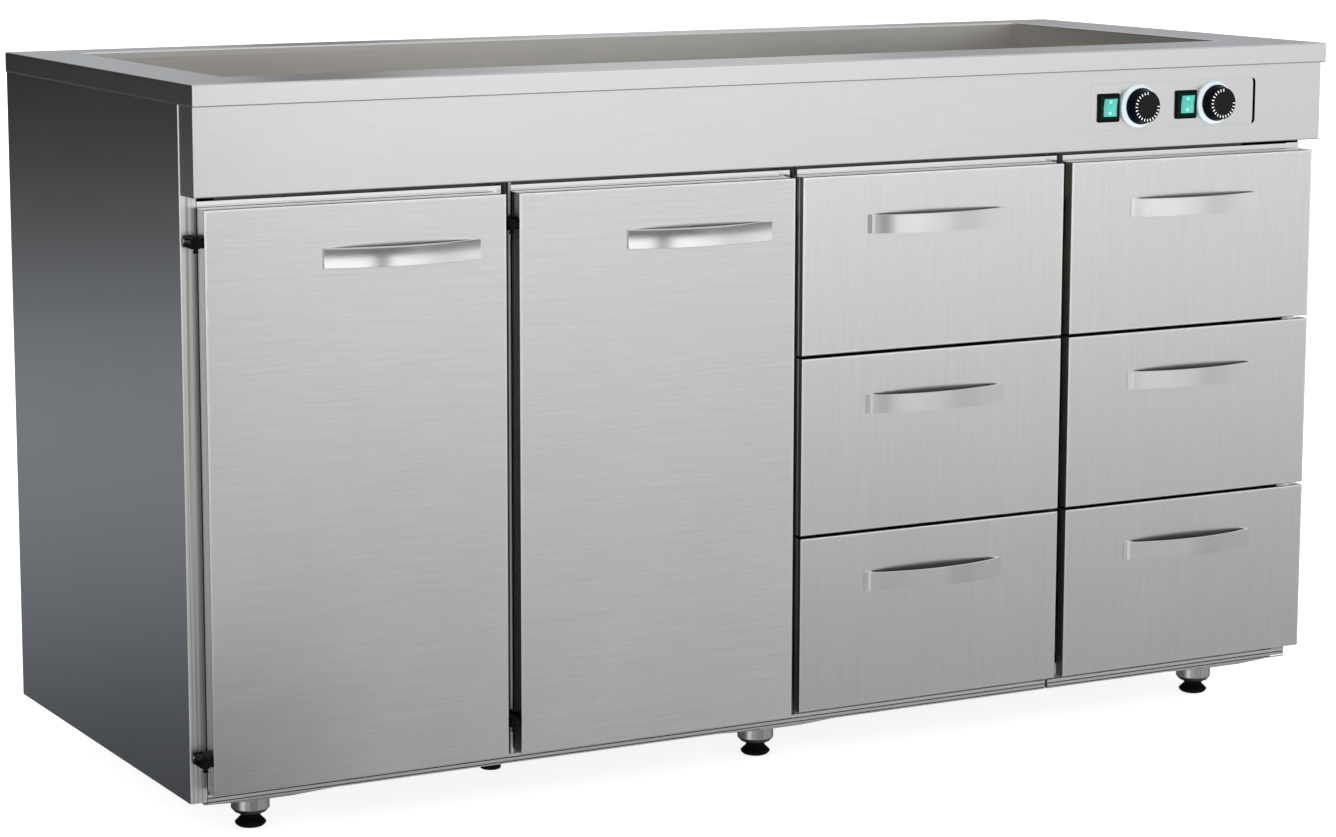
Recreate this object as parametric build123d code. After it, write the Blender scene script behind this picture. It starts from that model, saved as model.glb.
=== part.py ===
from build123d import *
import math
import os

# Free-standing bain-marie counter: a heated well in a steel worktop, carried by a cabinet
# with two hinged cupboard doors and two stacks of three drawers.
# Working coordinates while modelling: x from the left end of the worktop, y backwards from the
# worktop's front edge, z up from the floor, all in mm. Every part is shifted to the row frame
# (origin on the floor under the middle of the whole object) when it is written.

# ---------------------------------------------------------------- driving dimensions
W, D, H = 1600.0, 650.0, 894.0            # worktop width, depth, height of its top
T_TOP, T = 1.5, 1.2                       # worktop sheet, body sheet
RIM_H, RIM_R, RIM_RETURN = 25.4, 2.4, 14.0

WELL_X0, WELL_X1 = 78.4, 1504.0           # well opening in the worktop
WELL_Y0, WELL_Y1 = 104.9, 590.0
WELL_DEPTH, WELL_LIP = 160.0, 9.0
WELL_R = 10.0                             # radius where walls meet the well floor
INS = 20.0                                # insulation thickness round the well
HEATER_R = 4.0

FASCIA_X0, FASCIA_X1 = 2.6, 1597.4
FASCIA_Y, FASCIA_Z0 = 7.7, 766.0
FASCIA_DEPTH = 40.8

PLATE_X0, PLATE_X1, PLATE_GAP = 1225.1, 1489.2, 4.2
PLATE_Z0, PLATE_Z1, PLATE_R = 791.3, 851.6, 6.0

SIDE_X, FRAME_Y, BODY_BACK = 1.3, 50.5, 648.4
SIDE_Z0, FLANGE_W = 55.8, 21.2

DOOR_Y, FRONT_T = 19.7, 16.3              # front plane of doors and drawers, depth of their pans
DOOR_Z0, FRONT_Z1 = 70.4, 751.1
DOOR_XS = [(18.8, 398.9), (415.9, 795.2)]
LINER_T, LINER_IN = 13.3, 1.5
DRAWER_XS = [(806.1, 1195.7), (1208.4, 1597.1)]
DRAWER_ZS = [(528.4, 751.1), (301.1, 524.7), (75.0, 297.4)]
PAN_R, PAN_LIP, TOP_FLANGE = 1.4, 12.0, 11.8

HINGE_DX, HINGE_Y = 9.0, 23.0             # pivot: left of the door's edge, and its depth
HINGE_ZS = [713.6, 111.0]
HINGE_R, PIN_R, PIN_PLAY = 5.5, 2.5, 0.05

STILES = [(411.5, 419.8), (809.0, 815.5), (1209.5, 1214.5)]
RAIL_Z0, RAIL_Z1 = 704.0, 758.5
RAIL_XS = [(22.5, 406.6), (419.8, 804.5), (815.5, 1205.0), (1214.5, 1577.5)]
CEILING_Z = 702.8                         # underside of the well's jacket
FLOOR_Z1 = 82.2                           # top of the cabinet floor
STEP_Y, STEP_Z1 = 66.0, 64.5              # the floor's front edge: depth and height of its step
SHELF_Z1, SHELF_FLANGE, SHELF_Y0 = 391.2, 20.0, 90.0

BOX_XS = [(826.0, 1188.0), (1226.0, 1562.0)]
BOX_ZS = [(546.0, 690.0), (318.0, 495.0), (95.0, 270.0)]
BOX_Y1 = 560.0
RUNNER_LEN_Y = (76.0, 600.0)

DOOR_HANDLE_XS = [(164.1, 363.5), (560.6, 760.0)]
DOOR_HANDLE_Z = (676.9, 699.7)
DOOR_HANDLE_BOW, DOOR_HANDLE_T, DOOR_HANDLE_COVE = 22.0, 6.5, 0.85
DOOR_HANDLE_END = 3.2                     # how far its cut ends stand off the door
DRAWER_HANDLE_L, DRAWER_HANDLE_H, DRAWER_HANDLE_DX = 207.6, 23.4, 2.7
DRAWER_HANDLE_TOPS = [700.1, 473.3, 246.2]
DRAWER_HANDLE_BOW, DRAWER_HANDLE_T, DRAWER_HANDLE_FOOT = 21.8, 2.0, 5.0

CTRL_Z, KNOB_Z = 820.4, 821.3               # heights of the switches and of the knobs
SWITCH_XS, KNOB_XS = [1253.3, 1376.0], [1300.2, 1421.2]
BEZEL_W, BEZEL_H, BEZEL_T = 32.8, 36.8, 3.0
ROCKER_W, ROCKER_H, ROCKER_PROUD = 20.4, 22.8, 2.6
ROCKER_PIVOT_Y, ROCKER_TILT, ROCKER_UP = 7.5, 5.0, 0.9
DIAL_R, DIAL_T = 27.8, 6.5
KNOB_R0, KNOB_R1, KNOB_TOP = 23.5, 20.6, 20.9
SPINDLE_R, SPINDLE_PLAY = 3.0, 0.05

FOOT_XS, FOOT_YS = [102.8, 800.0, 1497.2], [118.5, 560.0]
CUP_R, CUP_Z0 = 23.25, 18.5
FOOT_PLATE_X, FOOT_PLATE_Y = 95.0, 62.5   # mounting plate under the base rail: half length, reach forwards
FOOT_PAD_R, FOOT_NECK_R = 18.75, 11.5
STEM_R, STEM_PLAY, STEM_TOP = 6.0, 0.05, 58.0

DRAIN_X, DRAIN_Y, DRAIN_R, DRAIN_Z0 = 442.0, 160.0, 13.0, 17.0
TAIL_L = 33.0                             # drain tail below the base
GLAND_X, GLAND_Y, GLAND_R, GLAND_BORE = 1560.0, 632.5, 10.0, 4.5

# the row frame's origin: on the floor, under the middle of the whole object, knobs included
SHIFT = Pos(-W / 2, -(D + FASCIA_Y - KNOB_TOP) / 2, 0)


# ---------------------------------------------------------------- helpers
def box(x0, x1, y0, y1, z0, z1):
    return Pos((x0 + x1) / 2, (y0 + y1) / 2, (z0 + z1) / 2) * Box(x1 - x0, y1 - y0, z1 - z0)


def vcyl(x, y, z0, z1, r):
    return Pos(x, y, (z0 + z1) / 2) * Cylinder(r, z1 - z0)


def near(a, b, tol=0.01):
    return abs(a - b) < tol


def edges_at(shape, x=None, y=None, z=None, along=None):
    # straight edges lying on the given coordinate planes, optionally running along one axis
    out = []
    for e in shape.edges():
        b = e.bounding_box()
        lo, hi = b.min, b.max
        ok = True
        for want, l, h in ((x, lo.X, hi.X), (y, lo.Y, hi.Y), (z, lo.Z, hi.Z)):
            if want is not None:
                vals = want if isinstance(want, (list, tuple)) else [want]
                ok = ok and any(near(l, v) and near(h, v) for v in vals)
        if along and ok:
            size = {"x": hi.X - lo.X, "y": hi.Y - lo.Y, "z": hi.Z - lo.Z}
            ok = all((size[k] > 1.0) == (k == along) for k in size)
        if ok:
            out.append(e)
    return out


def write(name, *shapes):
    solids = []
    for s in shapes:
        solids += list((SHIFT * s).solids())
    body = solids[0] if len(solids) == 1 else Compound(solids)
    export_step(body, f"parts/{name}.step")


os.makedirs("parts", exist_ok=True)
RIM_Z0 = H - RIM_H
WELL_Z = H - WELL_DEPTH

# ---------------------------------------------------------------- worktop and well
top = box(0, W, 0, D, RIM_Z0, H)
top = fillet(edges_at(top, along="z"), RIM_R)
top = fillet(top.faces().sort_by(Axis.Z)[-1].edges(), RIM_R)
top = fillet(top.faces().sort_by(Axis.Z)[0].edges(), 1.4)
top = top - box(T_TOP, W - T_TOP, T_TOP, D - T_TOP, RIM_Z0 - 1, H - T_TOP)
ret = box(T_TOP, W - T_TOP, T_TOP, D - T_TOP, RIM_Z0, RIM_Z0 + T_TOP)
q = T_TOP + RIM_RETURN
ret = ret - box(q, W - q, q, D - q, RIM_Z0 - 1, RIM_Z0 + 5)
top = top + ret
lip = box(WELL_X0 - T_TOP, WELL_X1 + T_TOP, WELL_Y0 - T_TOP, WELL_Y1 + T_TOP, H - WELL_LIP, H - T_TOP)
top = top + lip
top = top - box(WELL_X0, WELL_X1, WELL_Y0, WELL_Y1, H - 40, H + 5)
inner = [e for e in edges_at(top, z=H) if WELL_X0 - 1 < e.center().X < WELL_X1 + 1 and WELL_Y0 - 1 < e.center().Y < WELL_Y1 + 1]
top = fillet(inner, 2.0)
write("worktop", top)

basin = box(WELL_X0 - T, WELL_X1 + T, WELL_Y0 - T, WELL_Y1 + T, WELL_Z - T, H - WELL_LIP)
basin = fillet(edges_at(basin, z=WELL_Z - T), WELL_R + T)
hollow = box(WELL_X0, WELL_X1, WELL_Y0, WELL_Y1, WELL_Z, H)
hollow = fillet(edges_at(hollow, z=WELL_Z), WELL_R)
basin = basin - hollow - vcyl(DRAIN_X, DRAIN_Y, WELL_Z - 10, WELL_Z + 10, DRAIN_R)
write("well_basin", basin)

# two serpentine tubular heaters pressed against the underside of the well, one for each half
heaters = []
hz = WELL_Z - T - HEATER_R - 0.3
for xa, xb in ((124.0, 748.0), (824.0, 1448.0)):
    rows = [220.0, 300.0, 380.0, 460.0]
    edges = []
    for i, yy in enumerate(rows):
        a, b = (xa, xb) if i % 2 == 0 else (xb, xa)
        edges.append(Line((a, yy, hz), (b, yy, hz)))
        if i < len(rows) - 1:
            s = 1 if b == xb else -1
            edges.append(ThreePointArc((b, yy, hz), (b + s * 40, yy + 40, hz), (b, yy + 80, hz)))
    path = Wire(edges)
    section = Plane(origin=(xa, rows[0], hz), z_dir=(1, 0, 0)) * Circle(HEATER_R)
    heaters.append(sweep(section, path=path))
write("heating_elements", *heaters)

g = 1.0
ins_out = (WELL_X0 - T - g - INS, WELL_X1 + T + g + INS, WELL_Y0 - T - g - INS, WELL_Y1 + T + g + INS)
ins_floor = hz - HEATER_R - 0.7
ins = box(*ins_out, CEILING_Z + 1.0, RIM_Z0 - 4)
ins = ins - box(WELL_X0 - T - g, WELL_X1 + T + g, WELL_Y0 - T - g, WELL_Y1 + T + g, ins_floor, H)
ins = ins - vcyl(DRAIN_X, DRAIN_Y, CEILING_Z - 5, ins_floor + 5, DRAIN_R + 14)
write("basin_insulation", ins)

jk = box(ins_out[0] - 1, ins_out[1] + 1, ins_out[2] - 1, ins_out[3] + 1, CEILING_Z, RIM_Z0 - 4)
jk = jk - box(*ins_out, CEILING_Z + 1.0, H)
jk = jk - vcyl(DRAIN_X, DRAIN_Y, CEILING_Z - 5, CEILING_Z + 5, DRAIN_R + 2)
write("basin_jacket", jk)

# strainer flange inside the well with its threaded tail, and the drain pipe below it
st = vcyl(DRAIN_X, DRAIN_Y, WELL_Z, WELL_Z + 2.0, 30.0)
st = fillet(edges_at(st, z=WELL_Z + 2.0), 1.0)
st = st + vcyl(DRAIN_X, DRAIN_Y, WELL_Z - 26, WELL_Z + 1, DRAIN_R - 0.3)
st = st - vcyl(DRAIN_X, DRAIN_Y, WELL_Z - 30, WELL_Z - 0.2, DRAIN_R - 2.6)
for k in range(8):
    a = math.radians(45 * k)
    st = st - vcyl(DRAIN_X + 6.6 * math.cos(a), DRAIN_Y + 6.6 * math.sin(a), WELL_Z - 5, WELL_Z + 5, 1.9)
st = st - vcyl(DRAIN_X, DRAIN_Y, WELL_Z - 5, WELL_Z + 5, 1.9)
write("drain_strainer", st)

pipe = vcyl(DRAIN_X, DRAIN_Y, DRAIN_Z0, DRAIN_Z0 + TAIL_L, DRAIN_R)
pipe = fillet(edges_at(pipe, z=DRAIN_Z0), 2.0)
pipe = pipe + vcyl(DRAIN_X, DRAIN_Y, DRAIN_Z0 + TAIL_L, WELL_Z - 26, DRAIN_R - 0.6)
nut = Pos(DRAIN_X, DRAIN_Y, CEILING_Z - 11) * extrude(RegularPolygon(DRAIN_R + 9, 6), 10)
pipe = pipe + nut - vcyl(DRAIN_X, DRAIN_Y, DRAIN_Z0 - 5, WELL_Z + 5, DRAIN_R - 3)
write("drain_pipe", pipe)

# ---------------------------------------------------------------- fascia and controls
f1 = FASCIA_Y + FASCIA_DEPTH
fas = box(FASCIA_X0, FASCIA_X1, FASCIA_Y, f1, FASCIA_Z0, RIM_Z0)
fas = fillet(edges_at(fas, x=[FASCIA_X0, FASCIA_X1], y=FASCIA_Y, along="z") + edges_at(fas, y=FASCIA_Y, z=FASCIA_Z0), 1.4)
fas = fas - box(FASCIA_X0 + T, FASCIA_X1 - T, FASCIA_Y + T, f1 + 1, FASCIA_Z0 + T, RIM_Z0 - T)
fas = fas - box(FASCIA_X0 + T, FASCIA_X1 - T, FASCIA_Y + 26, f1 + 1, FASCIA_Z0 - 1, RIM_Z0 + 1)


def plate_profile(x0, x1, z0, z1, r, y0, y1):
    s = Pos((x0 + x1) / 2, y0, (z0 + z1) / 2) * Rot(90, 0, 0) * extrude(RectangleRounded(x1 - x0, z1 - z0, r), -(y1 - y0))
    return s


cut = plate_profile(PLATE_X0, PLATE_X1, PLATE_Z0, PLATE_Z1, PLATE_R, FASCIA_Y - 1, FASCIA_Y + T + 0.001)
fas = fas - cut
write("fascia_panel", fas)

inset = plate_profile(PLATE_X0 + 0.15, PLATE_X1 - PLATE_GAP, PLATE_Z0 + 0.15, PLATE_Z1 - 0.15, PLATE_R, FASCIA_Y, FASCIA_Y + T)
back = box(PLATE_X0 - 12, PLATE_X1 + 12, FASCIA_Y + T, FASCIA_Y + 2 * T, PLATE_Z0 - 10, PLATE_Z1 + 10)
back = back - box(PLATE_X1 - PLATE_GAP, PLATE_X1, FASCIA_Y, FASCIA_Y + 10, PLATE_Z0, PLATE_Z1)
plate = inset + back
for x in SWITCH_XS:
    plate = plate - box(x - 15.2, x + 15.2, FASCIA_Y - 1, FASCIA_Y + 5, CTRL_Z - 17.2, CTRL_Z + 17.2)
for x in KNOB_XS:
    plate = plate - Pos(x, FASCIA_Y, KNOB_Z) * Rot(90, 0, 0) * Cylinder(5.2, 20)
write("control_plate", plate)

houses = []
bz = FASCIA_Y - BEZEL_T
for x in SWITCH_XS:
    b = box(x - BEZEL_W / 2, x + BEZEL_W / 2, bz, FASCIA_Y, CTRL_Z - BEZEL_H / 2, CTRL_Z + BEZEL_H / 2)
    b = fillet(edges_at(b, along="y"), 2.0)
    b = fillet(b.faces().sort_by(Axis.Y)[0].edges(), 1.0)
    b = b + box(x - 15.0, x + 15.0, FASCIA_Y, 38.0, CTRL_Z - 17.0, CTRL_Z + 17.0)
    b = b - box(x - ROCKER_W / 2 - 0.5, x + ROCKER_W / 2 + 0.5, bz - 1, 30.0, CTRL_Z - ROCKER_H / 2 - 2.4, CTRL_Z + ROCKER_H / 2 + 2.4)
    b = b + box(x - 10, x - 7, 38, 46, CTRL_Z - 9, CTRL_Z - 8.2) + box(x - 10, x - 7, 38, 46, CTRL_Z + 8.2, CTRL_Z + 9)
    houses.append(b)
write("switch_housings", *houses)


def out_of_fascia(x, shape):
    # a part turned about its own Z, set on the fascia plane with +Z pointing forwards
    return Pos(x, FASCIA_Y, KNOB_Z) * Rot(90, 0, 0) * shape


dials, stats = [], []
for x in KNOB_XS:
    ring = Polyline((5.2, 0), (DIAL_R, 0), (DIAL_R, 2.2), (DIAL_R - 1.0, 3.4), (DIAL_R - 4.4, DIAL_T - 0.4), (DIAL_R - 5.2, DIAL_T), (5.2, DIAL_T), (5.2, 0))
    d = revolve(make_face(Plane.XZ * ring), Axis.Z)
    dials.append(out_of_fascia(x, d))
    s = Pos(0, 0, -24) * Box(38, 38, 40) + Pos(0, 0, 0) * Cylinder(5.0, 8.0)
    s = s - Pos(0, 0, -8) * Cylinder(SPINDLE_R + SPINDLE_PLAY, 30)
    s = s + Pos(-8, 0, -48) * Box(6, 0.8, 8) + Pos(8, 0, -48) * Box(6, 0.8, 8)
    stats.append(out_of_fascia(x, s))
write("knob_dials", *dials)
write("thermostats", *stats)

for name, x in zip(("left_knob", "right_knob"), KNOB_XS):
    prof = Polyline((0, -20), (SPINDLE_R, -20), (SPINDLE_R, DIAL_T + 1.4), (8, DIAL_T + 1.4), (8, DIAL_T + 0.6), (KNOB_R0, DIAL_T + 0.6),
                    (KNOB_R0, 9.0), (KNOB_R0 - 1.2, 10.6), (KNOB_R1, KNOB_TOP - 1.2), (KNOB_R1 - 1.2, KNOB_TOP), (0, KNOB_TOP), (0, -20))
    k = revolve(make_face(Plane.XZ * prof), Axis.Z)
    write(name, out_of_fascia(x, k))

for name, x in zip(("left_rocker", "right_rocker"), SWITCH_XS):
    fy = bz - ROCKER_PROUD
    h = ROCKER_H / 2
    prof = Polyline((fy, -h), (fy, -h + 1.2), (fy + 1.0, 0), (fy, h - 1.2), (fy, h), (fy + 5.0, h - 0.3),
                    (ROCKER_PIVOT_Y + 6, 6), (ROCKER_PIVOT_Y + 6, -6), (fy + 5.0, -h + 0.3), (fy, -h))
    r = extrude(make_face(Plane.YZ * prof), ROCKER_W / 2, both=True)
    r = Pos(x, ROCKER_PIVOT_Y, CTRL_Z) * Rot(ROCKER_TILT, 0, 0) * Pos(0, -ROCKER_PIVOT_Y, ROCKER_UP) * r
    write(name, r)

# ---------------------------------------------------------------- cabinet shell
side = box(SIDE_X, SIDE_X + T, FRAME_Y, BODY_BACK, SIDE_Z0, RIM_Z0)
side = side + box(SIDE_X, SIDE_X + FLANGE_W, FRAME_Y, FRAME_Y + T, SIDE_Z0, RIM_Z0)
side = side + box(SIDE_X + FLANGE_W - T, SIDE_X + FLANGE_W, FRAME_Y, 70.0, SIDE_Z0, 762.0)
side = side + box(SIDE_X, SIDE_X + FLANGE_W, FRAME_Y, BODY_BACK, SIDE_Z0, SIDE_Z0 + T)
side = fillet(edges_at(side, x=SIDE_X, y=FRAME_Y, along="z"), 1.9)
side = fillet(edges_at(side, x=SIDE_X + FLANGE_W, y=FRAME_Y, along="z"), 1.4)
write("left_side_panel", side)
# on the right the front flange leaves the slot under the fascia open, and the base strips pass in front of its foot
right = mirror(side, about=Plane((W / 2, 0, 0), z_dir=(1, 0, 0)))
cut_x = W - SIDE_X - FLANGE_W - 1
right = right - box(cut_x, W, FRAME_Y - 1, FRAME_Y + T + 0.3, SIDE_Z0 - 1, STEP_Z1 + 0.5)
right = right - box(cut_x, W, FRAME_Y - 1, FRAME_Y + T + 0.3, RAIL_Z1, FASCIA_Z0 + 0.4) - box(cut_x, W - SIDE_X - 2 * T, FRAME_Y - 1, 71.0, RAIL_Z1, 765.0)
write("right_side_panel", right)

back_panel = box(SIDE_X + T, W - SIDE_X - T, BODY_BACK - T, BODY_BACK, SIDE_Z0 + T, RIM_Z0)
# its bottom flange stops short of the cable's way in
back_panel = back_panel + box(SIDE_X + T + 20, GLAND_X - 70, BODY_BACK - 16, BODY_BACK, SIDE_Z0 + T, SIDE_Z0 + 2 * T)
write("back_panel", back_panel)

JOINT_X = 1204.0                          # split between the two base lengths
fx0, fx1 = SIDE_X + FLANGE_W, W - SIDE_X - FLANGE_W
base_x1 = W - SIDE_X - 0.2                # the strips run on to the right end
floor_p = box(fx0, fx1, STEP_Y, 70.5, FLOOR_Z1 - T, FLOOR_Z1)
floor_p = floor_p + box(SIDE_X + T, W - SIDE_X - T, 70.5, BODY_BACK - T, FLOOR_Z1 - T, FLOOR_Z1)
floor_p = floor_p + box(fx0, fx1, STEP_Y, STEP_Y + T, STEP_Z1 - T, FLOOR_Z1) + box(fx0, fx1, FRAME_Y, STEP_Y + T, STEP_Z1 - T, STEP_Z1)
floor_p = fillet(edges_at(floor_p, y=STEP_Y, z=FLOOR_Z1), 1.0)
floor_p = floor_p + box(fx0, base_x1, FRAME_Y, FRAME_Y + T, 60.7, STEP_Z1)
floor_p = floor_p - vcyl(DRAIN_X, DRAIN_Y, 70, 95, DRAIN_R + 2)
floor_p = floor_p - vcyl(GLAND_X, GLAND_Y, 70, 95, 8.1)
floor_p = floor_p - box(JOINT_X - 2.0, JOINT_X + 2.0, FRAME_Y - 1, FRAME_Y + 5.0, 60, STEP_Z1 + 1)
write("floor_panel", floor_p)

rails = []
rf = box(fx0 + 1.5, fx1 - 1.5, 69.0, 70.2, 52.0, FLOOR_Z1 - T)
rf = rf + box(fx0 + 1.5, fx1 - 1.5, 69.0, 176.2, FLOOR_Z1 - 2 * T, FLOOR_Z1 - T)
rf = rf + box(fx0 + 1.5, fx1 - 1.5, 175.0, 176.2, 52.0, FLOOR_Z1 - T)
rf = rf + box(fx0, fx1, FRAME_Y, 70.2, 58.2, 59.4) + box(fx0, base_x1, FRAME_Y, FRAME_Y + T, 55.8, 59.4)
rf = rf + box(fx0, fx1, FRAME_Y, 70.2, 53.0, 54.6) + box(fx0, base_x1, FRAME_Y, FRAME_Y + T, 53.0, 54.6)
rf = rf - box(JOINT_X - 2.0, JOINT_X + 2.0, FRAME_Y - 1, FRAME_Y + 5.0, 50, 61)
rf = rf - vcyl(DRAIN_X, DRAIN_Y, 40, 95, DRAIN_R + 2)
rails.append(rf)
rr = box(fx0 + 1.5, fx1 - 1.5, 502.0, 503.2, 52.0, FLOOR_Z1 - T)
rr = rr + box(fx0 + 1.5, fx1 - 1.5, 502.0, 618.0, FLOOR_Z1 - 2 * T, FLOOR_Z1 - T)
rr = rr + box(fx0 + 1.5, fx1 - 1.5, 616.8, 618.0, 52.0, FLOOR_Z1 - T)
rails.append(rr)
write("base_rails", *rails)

parts = []
for i, (x0, x1) in enumerate(STILES):
    # each stile is a channel open to the front; the first has a hemmed right edge and bridges for the hinge brackets, the second a small lip;
    # the two beside the cupboards have a stop flange behind the closing edge of the door
    hem = 3.0 if i == 0 else T
    p = box(x0, x0 + T, STEP_Y, BODY_BACK - T, FLOOR_Z1, CEILING_Z)
    p = p + box(x0, x0 + T, FRAME_Y, 76.0, STEP_Z1, RAIL_Z1 + 3)
    p = p + box(x0, x1, STEP_Y - T, STEP_Y, STEP_Z1, RAIL_Z1 + 3)
    plan = Polyline((x1 - hem, FRAME_Y + (1.2 if i == 0 else 0.0)), (x1, FRAME_Y), (x1, STEP_Y), (x1 - hem, STEP_Y), close=True)
    p = p + Pos(0, 0, STEP_Z1) * extrude(make_face(plan), RAIL_Z1 + 3 - STEP_Z1)
    p = p - box(x0 - 1, x1 + 1, STEP_Y, 80.0, STEP_Z1 - 1, FLOOR_Z1)
    if i == 0:
        for zc in HINGE_ZS:
            p = p + box(x0, x1, FRAME_Y, FRAME_Y + T, zc - 9.0, zc + 9.0)
    if i == 1:
        p = p + box(x1 - T, x1 + 2.1, FRAME_Y, FRAME_Y + T, STEP_Z1, RAIL_Z0 - 0.5)
    if i < 2:
        p = p + box(x0 - 22.0, x0 + 0.5, FRAME_Y, FRAME_Y + T, STEP_Z1, RAIL_Z0 - 0.5)
    parts.append(p)
write("partitions", *parts)

tops = []
for i, (x0, x1) in enumerate(RAIL_XS):
    r = box(x0, x1, FRAME_Y, FRAME_Y + T, RAIL_Z0, RAIL_Z1)
    r = r + box(x0, x1, FRAME_Y, 70.0, RAIL_Z1 - T, RAIL_Z1) + box(x0, x1, FRAME_Y, 70.0, RAIL_Z0, RAIL_Z0 + T)
    r = fillet(edges_at(r, y=FRAME_Y, z=RAIL_Z1), 1.0)
    if i < 3:
        r = r + box(x1 - 10, STILES[i][0], 68.8, 70.0, RAIL_Z0, RAIL_Z1)
    tops.append(r)
write("top_rails", *tops)

shelves = []
for x0, x1 in ((SIDE_X + T, STILES[0][0]), (STILES[0][0] + T, STILES[1][0])):
    s = box(x0, x1, SHELF_Y0, BODY_BACK - T, SHELF_Z1 - T, SHELF_Z1)
    s = s + box(x0, x1, SHELF_Y0, SHELF_Y0 + T, SHELF_Z1 - SHELF_FLANGE, SHELF_Z1)
    s = s + box(x0, x1, BODY_BACK - 2 * T, BODY_BACK - T, SHELF_Z1 - SHELF_FLANGE, SHELF_Z1)
    s = s + box(x0, x0 + T, SHELF_Y0, BODY_BACK - T, SHELF_Z1 - SHELF_FLANGE, SHELF_Z1)
    s = s + box(x1 - T, x1, SHELF_Y0, BODY_BACK - T, SHELF_Z1 - SHELF_FLANGE, SHELF_Z1)
    s = fillet(edges_at(s, y=SHELF_Y0, z=SHELF_Z1), 1.0)
    shelves.append(s)
notch = box(STILES[0][0] - 1 + T, DRAIN_X + DRAIN_R + 4, SHELF_Y0 - 1, DRAIN_Y + DRAIN_R + 4, SHELF_Z1 - 30, SHELF_Z1 + 5)
shelves[1] = shelves[1] - notch
write("cupboard_shelves", *shelves)

# ---------------------------------------------------------------- feet
cups, feet = [], []
for fy, row in zip(FOOT_YS, ("front", "rear")):
    for fx, col in zip(FOOT_XS, ("left", "middle", "right")):
        prof = Polyline((STEM_R + STEM_PLAY, CUP_Z0 + 1.2), (CUP_R - 4.6, CUP_Z0 + 1.2), (CUP_R - 4.6, CUP_Z0), (CUP_R - 4.2, CUP_Z0),
                        (CUP_R, CUP_Z0 + 4.8), (CUP_R, FLOOR_Z1 - 2 * T), (CUP_R - 1.5, FLOOR_Z1 - 2 * T), (CUP_R - 1.5, CUP_Z0 + 18),
                        (STEM_R + STEM_PLAY, CUP_Z0 + 18), (STEM_R + STEM_PLAY, CUP_Z0 + 1.2))
        cup = Pos(fx, fy, 0) * revolve(make_face(Plane.XZ * prof), Axis.Z)
        # mounting plate: its front edge runs back towards both ends
        px, py = FOOT_PLATE_X, FOOT_PLATE_Y
        plan = Polyline((fx - px, fy + 50), (fx - px, fy - py + 10.5), (fx - 30, fy - py), (fx + 30, fy - py), (fx + px, fy - py + 10.5),
                        (fx + px, fy + 50), (fx - px, fy + 50))
        base = Pos(0, 0, 48.6) * extrude(make_face(plan), 3.4)
        base = base & box(max(fx - px, fx0 + 1.5), min(fx + px, fx1 - 1.5), fy - py - 1, fy + 51, 48, 53)
        cups.append(cup + (base - vcyl(fx, fy, 40, 60, CUP_R - 0.5)))
        outline = [(0, 0), (12.5, 0), (15.2, 0.9), (17.4, 2.6), (FOOT_PAD_R, 4.6), (FOOT_PAD_R, 5.6), (17.6, 7.0),
                   (FOOT_NECK_R + 0.8, 12.2), (FOOT_NECK_R, 13.4), (FOOT_NECK_R + 0.6, 14.4), (17.4, CUP_Z0 + 0.2),
                   (STEM_R, CUP_Z0 + 0.2), (STEM_R, STEM_TOP - 1), (STEM_R - 1, STEM_TOP), (0, STEM_TOP), (0, 0)]
        feet.append((f"{row}_{col}_foot", Pos(fx, fy, 0) * revolve(make_face(Plane.XZ * Polyline(*outline)), Axis.Z)))
write("foot_sockets", *cups)
for name, s in feet:
    write(name, s)

# cable gland through the cabinet floor, rear right
gl = vcyl(GLAND_X, GLAND_Y, FLOOR_Z1 - T - 16, FLOOR_Z1 - T, GLAND_R)
gl = fillet(edges_at(gl, z=FLOOR_Z1 - T - 16), 2.0)
gl = gl + Pos(GLAND_X, GLAND_Y, FLOOR_Z1 - T - 6) * extrude(RegularPolygon(GLAND_R + 3, 6), 6)
gl = gl + vcyl(GLAND_X, GLAND_Y, FLOOR_Z1 - T, FLOOR_Z1 + 8, 8.0)
gl = gl + Pos(GLAND_X, GLAND_Y, FLOOR_Z1) * extrude(RegularPolygon(GLAND_R + 3, 6), 5)
gl = gl - vcyl(GLAND_X, GLAND_Y, 50, 110, GLAND_BORE)
write("cable_gland", gl)


# ---------------------------------------------------------------- doors and drawers
def pan(x0, x1, z0, z1):
    # folded front pan, open at the back with an inward lip all round
    y0, y1 = DOOR_Y, DOOR_Y + FRONT_T
    s = box(x0, x1, y0, y1, z0, z1)
    s = fillet(edges_at(s, x=[x0, x1], along="z") + edges_at(s, y=y0, along="x"), PAN_R)
    s = s - box(x0 + T, x1 - T, y0 + T, y1 - T, z0 + T, z1 - T)
    s = s - box(x0 + PAN_LIP, x1 - PAN_LIP, y0 + T + 1, y1 + 1, z0 + PAN_LIP, z1 - PAN_LIP)
    return s


def bow(xc, chord, rise, stand, section):
    # ring segment in plan: its outer face stands off the front plane by stand at the chord's ends
    # and by stand + rise in the middle; it runs on past the ends so that they can be cut square
    R = (chord * chord / 4 + rise * rise) / (2 * rise)
    half = math.degrees(math.asin(chord / 2 / R)) + 4
    face = make_face(Plane.XZ * section(R))
    seg = revolve(face, Axis.Z, 2 * half)
    # the revolve starts on +X and turns towards +Y, so it is turned to straddle -Y
    return Pos(xc, DOOR_Y - stand - rise + R, 0) * Rot(0, 0, -90 - half) * seg


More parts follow.
